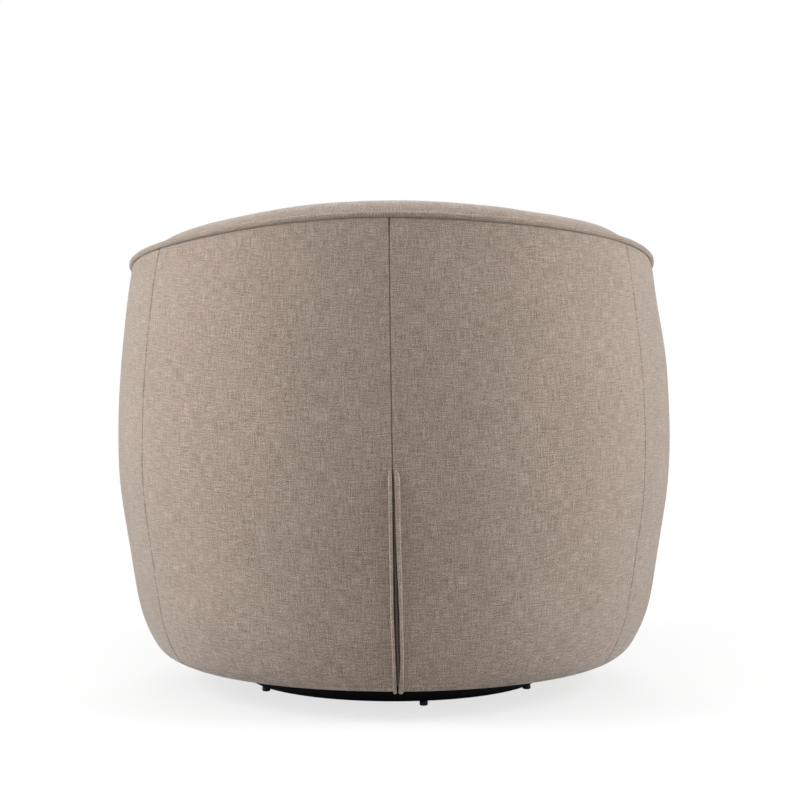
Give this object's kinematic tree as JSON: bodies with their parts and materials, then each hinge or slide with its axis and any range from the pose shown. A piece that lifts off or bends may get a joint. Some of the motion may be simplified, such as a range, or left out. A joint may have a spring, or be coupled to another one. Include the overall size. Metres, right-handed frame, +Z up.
{
  "type": "swivel barrel chair",
  "caption": "Round upholstered barrel chair with a loose seat cushion, a sloping padded rim and a low swivel plinth.",
  "frame": {"origin": "on the floor under the swivel axis", "axes": "+Z up along the swivel axis, the sitter faces -Y, the closed back is at +Y"},
  "size_m": [0.785, 0.7837, 0.6999],
  "materials": {
    "linen_weave": "matte",
    "dust_cloth": "matte",
    "felt_pad": "matte",
    "webbing": "matte",
    "plywood": "matte",
    "fibreboard": "matte",
    "glide_plastic": "satin",
    "black_plinth": "satin",
    "cage_plastic": "satin",
    "zip_coil": "satin",
    "zip_metal": "satin",
    "steel": "satin"
  },
  "bodies": {
    "base": {"plinth_disc": "black_plinth", "glide_1": "glide_plastic", "glide_2": "glide_plastic", "glide_3": "glide_plastic", "glide_4": "glide_plastic", "glide_5": "glide_plastic", "glide_6": "glide_plastic", "swivel_lower_plate": "steel", "lower_plate_screws": "steel"},
    "ball_ring": {"ball_cage": "cage_plastic", "bearing_balls": "steel"},
    "chair": {"bottom_board": "plywood", "cover_back_left": "linen_weave", "cover_back_right": "linen_weave", "cover_front": "linen_weave", "cover_side_left": "linen_weave", "cover_side_right": "linen_weave", "deck_cloth": "linen_weave", "deck_pad": "felt_pad", "dust_cloth": "dust_cloth", "inner_arm_padding_left": "linen_weave", "inner_arm_padding_right": "linen_weave", "inner_back_padding": "linen_weave", "inner_board": "fibreboard", "rib_arm_left": "plywood", "rib_arm_right": "plywood", "rib_back_left": "plywood", "rib_back_right": "plywood", "rib_front_left": "plywood", "rib_front_right": "plywood", "rib_side_left": "plywood", "rib_side_right": "plywood", "rim_padding": "linen_weave", "rim_welt": "linen_weave", "seat_ring": "plywood", "swivel_upper_plate": "steel", "top_rail": "plywood", "upper_plate_screws": "steel", "webbing_crosswise": "webbing", "webbing_lengthwise": "webbing", "zip_coil": "zip_coil", "zip_lip_left": "linen_weave", "zip_lip_right": "linen_weave", "zip_slider": "zip_metal"},
    "cushion": {"seat_cushion": "linen_weave", "cushion_welt_upper": "linen_weave", "cushion_welt_lower": "linen_weave"}
  },
  "joints": [
    {"name": "seat_swivel", "type": "hinge", "parent": "base", "child": "chair", "pos_m": [0, 0, 0.03], "axis": [0, 0, 1], "continuous": true},
    {"name": "ball_ring_turn", "type": "hinge", "parent": "base", "child": "ball_ring", "pos_m": [0, 0, 0.0319], "axis": [0, 0, 1], "continuous": true},
    {"name": "cushion_lift", "type": "slide", "parent": "chair", "child": "cushion", "axis": [0, 0, 1], "range_m": [0, 0.25]}
  ],
  "couplings": [
    {"joint": "ball_ring_turn", "follows": "seat_swivel", "ratio": 0.5}
  ]
}
